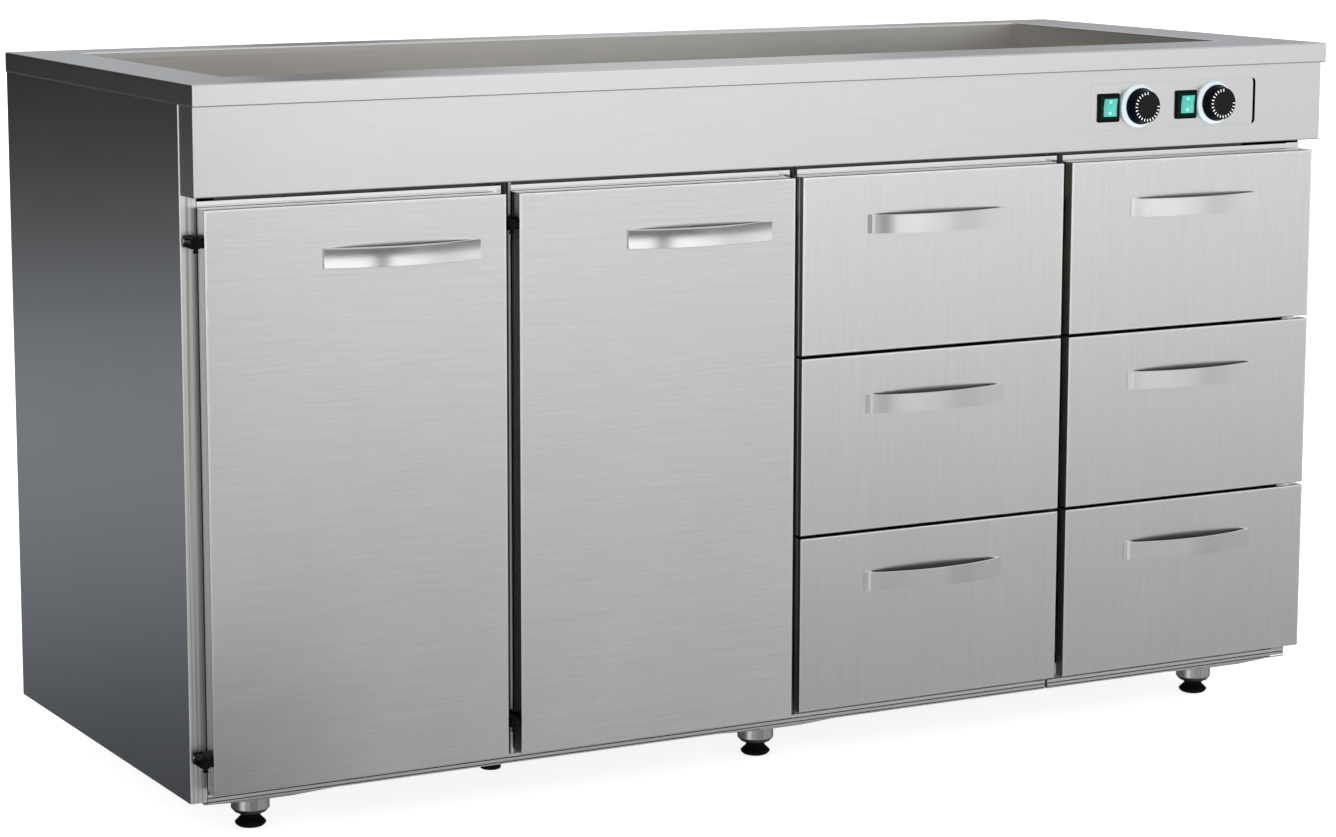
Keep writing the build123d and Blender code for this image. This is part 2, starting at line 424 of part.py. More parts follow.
for (x0, x1), (h0, h1), side_name in zip(DOOR_XS, DOOR_HANDLE_XS, ("left", "right")):
    write(f"{side_name}_door_skin", pan(x0, x1, DOOR_Z0, FRONT_Z1))
    ly = DOOR_Y + FRONT_T
    lin = box(x0 + LINER_IN, x1 - LINER_IN, ly, ly + LINER_T, DOOR_Z0 + LINER_IN, FRONT_Z1 - 0.2)
    lin = fillet(edges_at(lin, y=ly + LINER_T), 3.0)
    lin = lin - box(x0 + LINER_IN + T, x1 - LINER_IN - T, ly - 1, ly + LINER_T - T, DOOR_Z0 + LINER_IN + T, FRONT_Z1 - 0.2 - T)
    write(f"{side_name}_door_liner", lin)

    z0, z1 = DOOR_HANDLE_Z
    c = DOOR_HANDLE_COVE

    def cove(R, z0=z0, z1=z1, c=c):
        t = DOOR_HANDLE_T
        zm = (z0 + z1) / 2
        arc = ThreePointArc((R, z0), (R - c, zm), (R, z1 - 1.1))
        rest = Polyline((R, z1 - 1.1), (R - 1.1, z1), (R - t, z1), (R - t, z0), (R - 0.6, z0 - 0.3), (R, z0))
        return Wire([arc] + list(rest.edges()))

    hd = bow((h0 + h1) / 2, h1 - h0, DOOR_HANDLE_BOW - DOOR_HANDLE_END, DOOR_HANDLE_END, cove)
    hd = hd & box(h0, h1, DOOR_Y - 60, DOOR_Y, z0 - 5, z1 + 5)
    write(f"{side_name}_door_handle", hd)

brackets = []
for (x0, x1), name, (pa, pb) in zip(DOOR_XS, ("left", "right"), ((5.0, 17.0), (411.5, 416.5))):
    ax = x0 - HINGE_DX
    knuckles = []
    for zc in HINGE_ZS:
        out = Polyline((ax - HINGE_R, HINGE_Y), (ax - HINGE_R, HINGE_Y + 20), (pa, FRAME_Y), (pb, FRAME_Y), (ax + HINGE_R, HINGE_Y + 20),
                       (ax + HINGE_R, HINGE_Y), (ax - HINGE_R, HINGE_Y))
        ear = make_face(out) + Pos(ax, HINGE_Y) * Circle(HINGE_R)
        br = Pos(0, 0, zc + 3.4) * extrude(ear, 2.4) + Pos(0, 0, zc - 5.8) * extrude(ear, 2.4)
        br = br + box(pa, pb, FRAME_Y - 2.5, FRAME_Y, zc + 3.4, zc + 6.6) + box(pa, pb, FRAME_Y - 2.5, FRAME_Y, zc - 6.6, zc - 3.4)
        br = br + vcyl(ax, HINGE_Y, zc - 9.6, zc + 6.8, PIN_R) + vcyl(ax, HINGE_Y, zc - 11.0, zc - 8.6, 3.2) + vcyl(ax, HINGE_Y, zc + 5.9, zc + 7.2, 3.4)
        brackets.append(br)
        kn = vcyl(ax, HINGE_Y, zc - 2.9, zc + 2.9, HINGE_R) + box(ax, x0 - 0.8, HINGE_Y - 3.0, HINGE_Y + 3.0, zc - 2.9, zc + 2.9)
        kn = kn + box(x0 - 1.5, x0, DOOR_Y + 2.0, DOOR_Y + 14.0, zc - 6.0, zc + 6.0)
        kn = kn - vcyl(ax, HINGE_Y, zc - 10, zc + 10, PIN_R + PIN_PLAY)
        knuckles.append(kn)
    write(f"{name}_door_hinge_leaves", *knuckles)
write("hinge_brackets", *brackets)

runners = []
for (x0, x1), (b0, b1), (sl, sr), stack in zip(DRAWER_XS, BOX_XS, ((STILES[1][0] + T, STILES[2][0]), (STILES[2][0] + T, W - SIDE_X - T)), ("left", "right")):
    for (z0, z1), (c0, c1), hz1, row in zip(DRAWER_ZS, BOX_ZS, DRAWER_HANDLE_TOPS, ("upper", "middle", "lower")):
        name = f"{stack}_{row}_drawer"
        by = DOOR_Y + FRONT_T
        front = pan(x0, x1, z0, z1)
        if row == "upper":
            # its top edge runs on backwards as a flange towards the rail
            front = front + box(x0 + 1.5, x1 - 1.5, by - T, by + TOP_FLANGE, z1 - T, z1)
        write(f"{name}_front", front)
        zr = (c0 + c1) / 2
        bx = box(b0, b1, by, BOX_Y1, c0, c1) - box(b0 + T, b1 - T, by + T, BOX_Y1 - T, c0 + T, c1 + 5)
        for m0, m1 in ((b0 - 8.0, b0), (b1, b1 + 8.0)):
            bx = bx + box(m0, m1, 90.0, BOX_Y1 - 4.0, zr - 5.0, zr + 5.0)
        write(f"{name}_box", bx)
        # fixed channel rails that the box's own members run in
        for wall, edge, out in ((sl, b0, -1), (sr, b1, 1)):
            def bar(near_x, far_x, z0, z1):
                a, b = edge + out * near_x, edge + out * far_x
                return box(min(a, b), max(a, b), *RUNNER_LEN_Y, z0, z1)

            reach = abs(wall - edge)
            rail = bar(2.0, 11.5, zr - 8.0, zr + 8.0) - bar(0.0, 10.0, zr - 6.0, zr + 6.0)
            rail = rail + bar(reach - 2.0, reach, zr - 14.0, zr + 14.0) + bar(11.0, reach, zr - 8.0, zr - 6.0) + bar(11.0, reach, zr + 6.0, zr + 8.0)
            runners.append(rail)
        xc = (x0 + x1) / 2 + DRAWER_HANDLE_DX
        hz0 = hz1 - DRAWER_HANDLE_H
        # strap handle in plan: wedge-shaped foot, short steep riser, shallow bow, and the same mirrored
        t, hl = DRAWER_HANDLE_T, DRAWER_HANDLE_L / 2
        xr = hl - DRAWER_HANDLE_FOOT
        xa, sa = xr - 2.2, 5.3
        xi, si = hl - 13.2, 5.7           # where the hollow behind the bow begins
        mid = DRAWER_HANDLE_BOW

        def at(dx, stand):
            return (xc + dx, DOOR_Y - stand)

        outer = [Line(at(-hl, 0.75), at(-xr, 2.2)), Line(at(-xr, 2.2), at(-xa, sa)), ThreePointArc(at(-xa, sa), at(0, mid), at(xa, sa)),
                 Line(at(xa, sa), at(xr, 2.2)), Line(at(xr, 2.2), at(hl, 0.75)), Line(at(hl, 0.75), at(hl, 0))]
        inner = [Line(at(hl, 0), at(xi + 2.2, 0)), Line(at(xi + 2.2, 0), at(xi, si)), ThreePointArc(at(xi, si), at(0, mid - t), at(-xi, si)),
                 Line(at(-xi, si), at(-xi - 2.2, 0)), Line(at(-xi - 2.2, 0), at(-hl, 0)), Line(at(-hl, 0), at(-hl, 0.75))]
        hd = Pos(0, 0, hz0) * extrude(make_face(Wire(outer + inner)), DRAWER_HANDLE_H)
        soft = [e for e in edges_at(hd, z=hz1) if e.geom_type == GeomType.CIRCLE and e.length > 100]
        hd = fillet(sorted(soft, key=lambda e: e.center().Y)[:1], 0.5)
        write(f"{name}_handle", hd)
write("drawer_runners", *runners)
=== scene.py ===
import bpy, bmesh, math
from mathutils import Matrix, Vector


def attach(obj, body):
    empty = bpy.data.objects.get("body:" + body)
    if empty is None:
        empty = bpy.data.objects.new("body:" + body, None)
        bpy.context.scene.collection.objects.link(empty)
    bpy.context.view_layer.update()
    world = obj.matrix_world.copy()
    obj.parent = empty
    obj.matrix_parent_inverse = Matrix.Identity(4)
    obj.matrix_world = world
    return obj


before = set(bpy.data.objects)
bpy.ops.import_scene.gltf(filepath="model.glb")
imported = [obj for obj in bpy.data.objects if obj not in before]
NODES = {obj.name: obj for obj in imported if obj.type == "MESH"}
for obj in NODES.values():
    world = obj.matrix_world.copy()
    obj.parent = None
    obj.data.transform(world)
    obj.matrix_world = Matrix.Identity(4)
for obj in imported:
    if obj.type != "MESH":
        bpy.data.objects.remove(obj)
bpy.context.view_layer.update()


def P(x, y, z):
    # working millimetres (x from the worktop's left end, y back from its front edge, z up) to the row frame in metres
    return Vector(((x - 800.0) / 1000, (y - 318.4) / 1000, z / 1000))


scene = bpy.context.scene
scene.view_settings.view_transform = "Standard"
scene.view_settings.look = "None"


# ------------------------------------------------------------------ node helpers
class Tree:
    def __init__(self, tree):
        self.t = tree
        tree.nodes.clear()

    def new(self, kind, **props):
        n = self.t.nodes.new(kind)
        for k, v in props.items():
            setattr(n, k, v)
        return n

    def put(self, sock, v):
        if isinstance(v, bpy.types.NodeSocket):
            self.t.links.new(v, sock)
        elif v is not None:
            sock.default_value = v

    def math(self, op, a, b=None, c=None, clamp=False):
        n = self.new("ShaderNodeMath", operation=op, use_clamp=clamp)
        for i, v in enumerate((a, b, c)):
            self.put(n.inputs[i], v)
        return n.outputs[0]

    def vmath(self, op, a, b=None):
        n = self.new("ShaderNodeVectorMath", operation=op)
        self.put(n.inputs[0], a)
        self.put(n.inputs[1], b)
        return n.outputs["Value"] if op in ("DOT_PRODUCT", "LENGTH", "DISTANCE") else n.outputs["Vector"]

    def range(self, v, f0, f1, t0, t1, smooth=False):
        n = self.new("ShaderNodeMapRange", clamp=True, interpolation_type="SMOOTHSTEP" if smooth else "LINEAR")
        for k, s in ((0, v), (1, f0), (2, f1), (3, t0), (4, t1)):
            self.put(n.inputs[k], s)
        return n.outputs[0]

    def lerp(self, fac, a, b):
        return self.math("MULTIPLY_ADD", fac, self.math("SUBTRACT", b, a), a)

    def mix(self, fac, a, b, mode="MIX"):
        n = self.new("ShaderNodeMix", data_type="RGBA", blend_type=mode)
        self.put(n.inputs[0], fac)
        self.put(n.inputs[6], a)
        self.put(n.inputs[7], b)
        return n.outputs[2]

    def ramp(self, fac, stops, interp="LINEAR"):
        n = self.new("ShaderNodeValToRGB")
        n.color_ramp.interpolation = interp
        e = n.color_ramp.elements
        while len(e) < len(stops):
            e.new(0.5)
        for el, (pos, col) in zip(e, stops):
            el.position = pos
        for el, (pos, col) in zip(e, stops):
            el.color = (*col, 1.0) if isinstance(col, tuple) else (col, col, col, 1.0)
        self.put(n.inputs[0], fac)
        return n.outputs[0]

    def scale(self, vec, s):
        n = self.new("ShaderNodeMapping", vector_type="POINT")
        self.put(n.inputs["Vector"], vec)
        n.inputs["Scale"].default_value = s
        return n.outputs[0]

    def noise(self, vec, scale=1.0, detail=2.0, rough=0.5, dist=0.0):
        n = self.new("ShaderNodeTexNoise")
        self.put(n.inputs["Vector"], vec)
        n.inputs["Scale"].default_value = scale
        n.inputs["Detail"].default_value = detail
        n.inputs["Roughness"].default_value = rough
        n.inputs["Distortion"].default_value = dist
        return n.outputs[0]

    def voronoi(self, vec, scale, feature="F1", out="Distance", rand=1.0):
        n = self.new("ShaderNodeTexVoronoi", feature=feature)
        self.put(n.inputs["Vector"], vec)
        n.inputs["Scale"].default_value = scale
        n.inputs["Randomness"].default_value = rand
        return n.outputs[out]

    def bump(self, height, strength, distance, normal=None):
        n = self.new("ShaderNodeBump")
        n.inputs["Strength"].default_value = strength
        n.inputs["Distance"].default_value = distance
        self.put(n.inputs["Height"], height)
        self.put(n.inputs["Normal"], normal)
        return n.outputs[0]


def material(name):
    m = bpy.data.materials.new(name)
    m.use_nodes = True
    t = Tree(m.node_tree)
    out = t.new("ShaderNodeOutputMaterial")
    p = t.new("ShaderNodeBsdfPrincipled")
    t.t.links.new(p.outputs[0], out.inputs[0])
    return m, t, p


def coords(t):
    tc = t.new("ShaderNodeTexCoord")
    return tc.outputs["Object"], tc.outputs["Generated"]


def facing(t, axis):
    # absolute component of the surface normal along one of the part's own axes
    s = t.new("ShaderNodeSeparateXYZ")
    t.put(s.inputs[0], t.new("ShaderNodeTexCoord").outputs["Normal"])
    return t.math("ABSOLUTE", s.outputs["XYZ".index(axis)])


def place(t, obj):
    s = t.new("ShaderNodeSeparateXYZ")
    t.put(s.inputs[0], obj)
    return s.outputs[0], s.outputs[1], s.outputs[2]


def within(t, v, a, b, soft=0.0003):
    # 1 where a < v < b
    return t.math("MULTIPLY", t.range(v, a - soft, a + soft, 0.0, 1.0), t.range(v, b - soft, b + soft, 1.0, 0.0))


# ------------------------------------------------------------------ materials
BRUSH = {"x": (9.0, 1700.0, 1700.0), "y": (1700.0, 9.0, 1700.0), "z": (1700.0, 1700.0, 9.0)}
BAND = {"x": (1.3, 190.0, 190.0), "y": (190.0, 1.3, 190.0), "z": (190.0, 190.0, 1.3)}
GRAIN = {"x": (17.0, 430.0, 430.0), "y": (430.0, 17.0, 430.0), "z": (430.0, 430.0, 17.0)}
BLUR = {"x": (0.0, 0.7071, 0.7071), "y": (0.7071, 0.0, 0.7071), "z": (0.7071, 0.7071, 0.0)}


def steel(name, brush="x", tone=0.62, tint=(1.0, 1.0, 1.0), rough=0.26, aniso=0.5, contrast=0.03, bump=0.016, edge=None, zone=None, ends=None, vary=1.0, metal=1.0, dull=None):
    """Brushed stainless sheet: fine and broad streaks along the brushing, faint cloudy stains and, on panels, lighter rubbed edges."""
    m, t, p = material(name)
    obj, gen = coords(t)
    fine = t.noise(t.scale(obj, BRUSH[brush]), 1.0, 3.0, 0.65)
    band = t.noise(t.scale(obj, BAND[brush]), 1.0, 2.0, 0.5)
    grain = t.noise(t.scale(obj, GRAIN[brush]), 1.0, 2.0, 0.6)
    if ends:
        # faces across the brushing carry streaks along another axis
        e = t.range(facing(t, "X"), 0.6, 0.8, 0.0, 1.0)
        fine = t.lerp(e, fine, t.noise(t.scale(obj, BRUSH[ends]), 1.0, 3.0, 0.65))
        band = t.lerp(e, band, t.noise(t.scale(obj, BAND[ends]), 1.0, 2.0, 0.5))
    cloud = t.noise(obj, 5.5, 4.0, 0.55, 0.4)
    smear = t.noise(obj, 42.0, 3.0, 0.6, 1.2)
    v = t.math("MULTIPLY_ADD", fine, 0.36, t.math("MULTIPLY_ADD", grain, 0.36, t.math("MULTIPLY_ADD", band, 0.10, t.math("MULTIPLY", cloud, 0.18))))
    lo, hi = tone * (1.0 - contrast * 2.2), tone * (1.0 + contrast * 2.2)
    f = t.range(v, 0.25, 0.75, 0.0, 1.0)
    col = t.mix(f, (lo * tint[0], lo * tint[1], lo * tint[2], 1.0), (hi * tint[0], hi * tint[1], hi * tint[2], 1.0))
    r = t.math("ADD", t.range(fine, 0.25, 0.75, rough - 0.03 * vary, rough + 0.035 * vary),
               t.range(t.math("MULTIPLY", cloud, smear), 0.12, 0.42, -0.015 * vary, 0.03 * vary))
    if edge:
        # distance in metres to the nearest outer edge of a rectangular front of this size
        s = t.new("ShaderNodeSeparateXYZ")
        t.put(s.inputs[0], gen)
        gx = t.math("MULTIPLY", t.math("MINIMUM", s.outputs[0], t.math("SUBTRACT", 1.0, s.outputs[0])), edge[0])
        gz = t.math("MULTIPLY", t.math("MINIMUM", s.outputs[2], t.math("SUBTRACT", 1.0, s.outputs[2])), edge[1])
        d = t.math("ADD", t.math("MINIMUM", gx, gz), t.range(smear, 0.3, 0.7, -0.0009, 0.0009))
        rub = t.range(d, 0.0012, 0.0042, 1.0, 0.0, True)
        col = t.mix(t.math("MULTIPLY", rub, 0.55), col, (min(1.0, tone * 1.3), min(1.0, tone * 1.3), min(1.0, tone * 1.3), 1.0))
        r = t.math("MULTIPLY_ADD", rub, -0.04, r)
    if zone:
        # another finish, painted shade or painted light where zone's mask is 1: its tint against this tone, and a
        # roughness step
        mask, shade, step = zone(t, obj)
        col = t.mix(mask, col, t.mix(1.0, col, shade if isinstance(shade, bpy.types.NodeSocket) else (*shade, 1.0), "MULTIPLY"))
        r = t.math("MULTIPLY_ADD", mask, step, r)
    t.put(p.inputs["Base Color"], col)
    t.put(p.inputs["Roughness"], r)
    p.inputs["Metallic"].default_value = metal
    if dull:
        # less metallic faces that scatter light
        t.put(p.inputs["Metallic"], dull(t))
    p.inputs["Anisotropic"].default_value = aniso
    tv = t.new("ShaderNodeVectorTransform", vector_type="VECTOR", convert_from="OBJECT", convert_to="WORLD")
    tv.inputs[0].default_value = BLUR[brush]
    if ends:
        # faces that look along X smear their reflections sideways, like the side panels
        t.put(tv.inputs[0], t.mix(e, (*BLUR[brush], 1.0), (0.0, 1.0, 0.0, 1.0)))
    t.put(p.inputs["Tangent"], tv.outputs[0])
    h = t.math("MULTIPLY_ADD", fine, 0.8, t.math("MULTIPLY", band, 0.2))
    t.put(p.inputs["Normal"], t.bump(h, bump, 0.0002))
    return m


def galvanised(name):
    """Zinc-coated sheet with a soft spangle."""
    m, t, p = material(name)
    obj, _ = coords(t)
    cells = t.voronoi(obj, 55.0, "F1", "Color")
    g = t.new("ShaderNodeSeparateColor")
    t.put(g.inputs[0], cells)
    fine = t.noise(obj, 420.0, 3.0, 0.6)
    v = t.math("MULTIPLY_ADD", g.outputs[0], 0.7, t.math("MULTIPLY", fine, 0.3))
    t.put(p.inputs["Base Color"], t.ramp(v, [(0.15, (0.17, 0.175, 0.18)), (0.85, (0.30, 0.305, 0.31))]))
    t.put(p.inputs["Roughness"], t.range(v, 0.1, 0.9, 0.34, 0.5))
    p.inputs["Metallic"].default_value = 1.0
    t.put(p.inputs["Normal"], t.bump(v, 0.08, 0.0004))
    return m


def plastic(name, dark, light, rough, grain=2600.0, bump=0.12, spec=0.5):
    """Moulded plastic with a fine spark-eroded grain and slight wear in its gloss."""
    m, t, p = material(name)
    obj, _ = coords(t)
    g = t.noise(obj, grain, 2.0, 0.6)
    w = t.noise(obj, 60.0, 4.0, 0.6, 0.6)
    v = t.math("MULTIPLY_ADD", g, 0.5, t.math("MULTIPLY", w, 0.5))
    t.put(p.inputs["Base Color"], t.ramp(v, [(0.3, dark), (0.72, light)]))
    t.put(p.inputs["Roughness"], t.range(w, 0.3, 0.7, rough - 0.06, rough + 0.08))
    p.inputs["Specular IOR Level"].default_value = spec
    t.put(p.inputs["Normal"], t.bump(g, bump, 0.0002))
    return m


def well_lip(t, obj):
    # the worktop's turned-down lip inside the well carries the well's finish
    x, y, z = place(t, obj)
    a, b = P(77.8, 104.2, 0), P(1504.6, 590.7, 892.4)
    m = t.math("MULTIPLY", within(t, x, a.x, b.x), within(t, y, a.y, b.y))
    return t.math("MULTIPLY", m, t.range(z, b.z, b.z - 0.0006, 0.0, 1.0)), (0.90, 0.88, 0.84), 0.09


def front_flange(t, obj):
    # the narrow front flange is duller than the panel and drawn with upright streaks
    streak = t.noise(t.scale(obj, (340.0, 340.0, 0.8)), 1.0, 2.0, 0.6)
    return t.range(facing(t, "Y"), 0.7, 0.9, 0.0, 1.0), t.ramp(streak, [(0.36, (0.62, 0.60, 0.57)), (0.45, (1.06, 1.05, 1.03)), (0.58, (1.16, 1.16, 1.15)), (0.70, (0.80, 0.79, 0.77))]), 0.1


def looking(t):
    # components of the surface normal along the part's own axes
    s = t.new("ShaderNodeSeparateXYZ")
    t.put(s.inputs[0], t.new("ShaderNodeTexCoord").outputs["Normal"])
    return s.outputs[0], s.outputs[1], s.outputs[2]


def handle_back_shade(t, obj):
    # painted shade on the backs of the door handles, which face the door; the backs are also rougher
    return t.range(looking(t)[1], 0.3, 0.6, 0.0, 1.0), (0.12, 0.11, 0.10), 0.2


def bow_back_shade(t, obj):
    # painted shade on the backs of the drawer handles, lighter towards the right end; the backs are also rougher
    g = t.new("ShaderNodeSeparateXYZ")
    t.put(g.inputs[0], coords(t)[1])
    return t.range(looking(t)[1], 0.3, 0.6, 0.0, 1.0), t.ramp(g.outputs[0], [(0.45, 0.2), (0.80, 0.55)]), 0.2


def bow_top(t):
    # the sheared top edge of the drawer handles is dull
    return t.range(looking(t)[2], 0.6, 0.9, 1.0, 0.45)


def upright_flange_shade(t, obj):
    # painted shade on the recessed flanges of the uprights, darker low down; the hem beside them is left bare
    nx, ny, _ = looking(t)
    z = place(t, obj)[2]
    m = t.math("MULTIPLY", t.range(ny, -0.97, -0.985, 0.0, 1.0), t.range(t.math("ABSOLUTE", nx), 0.1, 0.2, 1.0, 0.0))
    return m, t.ramp(t.range(z, 0.1, 0.75, 0.0, 1.0), [(0.0, 0.06), (0.35, 0.12), (0.8, 0.26)]), 0.1


def fold(t, obj):
    # painted light line along the left-hand fold of the left stack's fronts, stronger towards the top
    x, y, z = place(t, obj)
    m = t.math("MULTIPLY", t.range(looking(t)[0], -0.7, -0.9, 0.0, 1.0), within(t, y, P(0, 27.6, 0).y, P(0, 31.0, 0).y, 0.0006))
    m = t.math("MULTIPLY", m, t.range(x, P(900, 0, 0).x, P(1000, 0, 0).x, 1.0, 0.0))
    return t.math("MULTIPLY", m, t.range(z, 0.1, 0.72, 0.25, 1.0))


def drawer_side_shade_and_lit_line(t, obj):
    # painted shade on the left-facing sides of the drawer fronts, darker low down, with the painted light line
    # brighter still
    left = t.range(looking(t)[0], -0.7, -0.9, 0.0, 1.0)
    low = t.ramp(t.range(place(t, obj)[2], 0.1, 0.7, 0.0, 1.0), [(0.0, (0.26, 0.23, 0.20)), (0.6, (0.50, 0.45, 0.39)), (0.95, (0.80, 0.72, 0.62))])
    return left, t.mix(fold(t, obj), low, (1.55, 1.46, 1.34, 1.0)), 0.15


def drawer_dull(t):
    # the left-facing sides are a little less metallic and the painted light line much less, so it scatters light
    left = t.range(looking(t)[0], -0.7, -0.9, 1.0, 0.945)
    return t.math("SUBTRACT", left, t.math("MULTIPLY", fold(t, coords(t)[0]), 0.55))


def door_corner_shade(t, obj):
    # painted shade: the lower left corner of the left door is a little darker
    x, _, z = place(t, obj)
    m = t.math("MULTIPLY", t.range(x, P(20, 0, 0).x, P(260, 0, 0).x, 1.0, 0.0, True), t.range(z, 0.06, 0.34, 1.0, 0.0, True))
    return m, (0.72, 0.72, 0.72), 0.0


def well_left_shade(t, obj):
    # painted shade: the well is darker towards its left end
    x = place(t, obj)[0]
    return t.range(x, P(300, 0, 0).x, P(650, 0, 0).x, 1.0, 0.0, True), (0.87, 0.86, 0.85), 0.03


def cup_chamfer_shade(t, obj):
    # painted shade on the chamfer at the bottom of the foot sockets, which is also rougher
    z = place(t, obj)[2]
    return t.range(z, 0.0232, 0.0242, 1.0, 0.0), (0.22, 0.22, 0.23), 0.15


M = {}
M["top"] = steel("brushed_steel_top", "x", 0.62, rough=0.24, aniso=0.35, contrast=0.018, bump=0.008, zone=well_lip, ends="y", vary=0.4)
M["sheet_x"] = steel("brushed_steel_along", "x", 0.62, rough=0.25, aniso=0.35, contrast=0.018, bump=0.007, ends="z", vary=0.5)
M["rail"] = steel("brushed_steel_rail", "x", 0.61, rough=0.14, aniso=0.2, contrast=0.02, bump=0.004, vary=0.5)
M["frame"] = steel("upright_frame", "z", 0.50, tint=(1.0, 0.95, 0.90), rough=0.4, aniso=0.2, contrast=0.03, bump=0.008, metal=0.5, zone=upright_flange_shade)
M["sheet_z"] = steel("brushed_steel_upright", "z", 0.62, rough=0.25, aniso=0.45, contrast=0.02, bump=0.008, vary=0.5)
M["side"] = steel("brushed_steel_side", "z", 0.60, rough=0.22, aniso=0.6, contrast=0.034, bump=0.008, zone=front_flange, vary=0.5)
M["door"] = steel("brushed_steel_door", "x", 0.605, rough=0.25, aniso=0.35, contrast=0.034, bump=0.006, edge=(0.38, 0.68), ends="z", vary=0.45, zone=door_corner_shade)
M["drawer"] = steel("brushed_steel_drawer", "z", 0.62, rough=0.25, aniso=0.35, contrast=0.028, bump=0.006, edge=(0.389, 0.2222), vary=0.45, zone=drawer_side_shade_and_lit_line, dull=drawer_dull)
M["pull"] = steel("satin_pull", "x", 0.61, rough=0.2, aniso=0.3, contrast=0.02, bump=0.01, ends="z", zone=handle_back_shade)
M["handle"] = steel("satin_handle", "x", 0.61, rough=0.2, aniso=0.3, contrast=0.02, bump=0.01, ends="z", zone=bow_back_shade, dull=bow_top)
M["well"] = steel("satin_well", "x", 0.56, tint=(1.0, 0.975, 0.93), rough=0.34, aniso=0.3, contrast=0.03, zone=well_left_shade)
M["inner"] = steel("mill_finish", "x", 0.56, rough=0.33, aniso=0.1, contrast=0.03, bump=0.012)
M["base"] = steel("base_channel", "x", 0.50, rough=0.3, aniso=0.3, contrast=0.04)
M["cup"] = steel("turned_cup", "z", 0.57, rough=0.2, aniso=0.4, contrast=0.01, bump=0.003, zone=cup_chamfer_shade, vary=0.4)
M["screw"] = steel("turned_screw", "z", 0.57, rough=0.2, aniso=0.2, contrast=0.02, bump=0.008)
M["galv"] = galvanised("galvanised_sheet")
M["black"] = plastic("black_moulding", (0.0016, 0.0016, 0.002), (0.004, 0.004, 0.0045), 0.46, spec=0.06)
M["rubber"] = plastic("black_rubber", (0.0016, 0.0016, 0.002), (0.005, 0.005, 0.005), 0.6, grain=1200.0, bump=0.2, spec=0.06)
M["dial"] = plastic("pale_moulding", (0.70, 0.81, 0.87), (0.78, 0.88, 0.93), 0.3, grain=1800.0, bump=0.05)


def knob_material():
    m, t, p = material("knob_moulding")
    obj, _ = coords(t)
    s = t.new("ShaderNodeSeparateXYZ")
    t.put(s.inputs[0], obj)
    face = t.range(s.outputs[1], P(0, -13.0, 0).y, P(0, -12.3, 0).y, 1.0, 0.0, True)
    g = t.noise(obj, 1500.0, 3.0, 0.7)
    w = t.noise(obj, 90.0, 3.0, 0.6, 0.5)
    skirt = t.ramp(w, [(0.3, (0.0018, 0.0026, 0.0055)), (0.7, (0.0032, 0.0045, 0.009))])
    front = t.ramp(g, [(0.35, (0.006, 0.006, 0.007)), (0.7, (0.019, 0.019, 0.021))])
    t.put(p.inputs["Base Color"], t.mix(face, skirt, front))
    t.put(p.inputs["Roughness"], t.math("ADD", t.range(face, 0.0, 1.0, 0.22, 0.5), t.range(w, 0.3, 0.7, -0.04, 0.05)))
    p.inputs["Specular IOR Level"].default_value = 0.04
    t.put(p.inputs["Normal"], t.bump(g, 0.25, 0.0003))
    return m


def liner_material():
    """Mill-finish liner of a door, near black down its rear side edges, with painted light on its top."""
    m = steel("door_liner", "x", 0.56, rough=0.33, aniso=0.1, contrast=0.03, bump=0.012, zone=liner_dark_sides_lit_top)
    return m


def liner_dark_sides_lit_top(t, obj):
    # near black and rougher on the rear side edges; painted light on the smoother top faces
    y = place(t, obj)[1]
    side = t.math("MULTIPLY", t.range(facing(t, "X"), 0.6, 0.8, 0.0, 1.0), t.range(y, P(0, 43.0, 0).y, P(0, 43.6, 0).y, 0.0, 1.0))
    top = t.range(looking(t)[2], 0.6, 0.8, 0.0, 1.0)
    return t.math("MAXIMUM", side, top), t.mix(top, (0.02, 0.02, 0.022, 1.0), (1.5, 1.5, 1.5, 1.0)), t.range(top, 0.0, 1.0, 0.3, -0.12)


def lens_material(xc):
    m, t, p = material("lit_lens_%d" % round(xc))
    obj, _ = coords(t)
    c = t.vmath("SUBTRACT", obj, tuple(P(xc, 1.0, 820.9)))
    s = t.new("ShaderNodeSeparateXYZ")
    t.put(s.inputs[0], c)
    up = t.math("ABSOLUTE", s.outputs[2])
    w = t.noise(obj, 260.0, 3.0, 0.6, 0.8)
    # two bright spots above and below the centre of the lens
    spot_reach = t.math("ADD", t.math("POWER", t.math("DIVIDE", s.outputs[0], 0.0024), 2.0),
                  t.math("POWER", t.math("DIVIDE", t.math("SUBTRACT", up, 0.0071), 0.0021), 2.0))
    spot = t.range(spot_reach, 0.0, 1.9, 0.9, 0.0, True)
    body = t.ramp(w, [(0.3, (0.045, 0.30, 0.26)), (0.7, (0.075, 0.43, 0.37))])
    # painted highlight and shade across the lens: dark at its left edge, a bright band towards its right
    across = t.ramp(t.range(t.math("MULTIPLY_ADD", w, 0.0012, s.outputs[0]), -0.0102, 0.0102, 0.0, 1.0),
                    [(0.0, (0.006, 0.10, 0.09)), (0.14, (0.035, 0.32, 0.28)), (0.4, (0.05, 0.43, 0.37)), (0.72, (0.06, 0.46, 0.40)), (0.86, (0.24, 0.62, 0.57)), (1.0, (0.05, 0.30, 0.27))])
    # painted shade on the side faces of the lens
    side = t.range(t.math("MAXIMUM", facing(t, "X"), facing(t, "Z")), 0.5, 0.7, 0.0, 1.0)
    t.put(p.inputs["Base Color"], t.mix(side, t.mix(spot, body, (0.26, 0.66, 0.61, 1.0)), (0.003, 0.016, 0.014, 1.0)))
    t.put(p.inputs["Emission Color"], t.mix(side, t.mix(spot, across, (0.46, 0.90, 0.83, 1.0)), (0.002, 0.03, 0.026, 1.0)))
    p.inputs["Emission Strength"].default_value = 0.35
    t.put(p.inputs["Roughness"], t.range(w, 0.3, 0.7, 0.14, 0.26))
    t.put(p.inputs["Normal"], t.bump(w, 0.1, 0.0003))
    return m


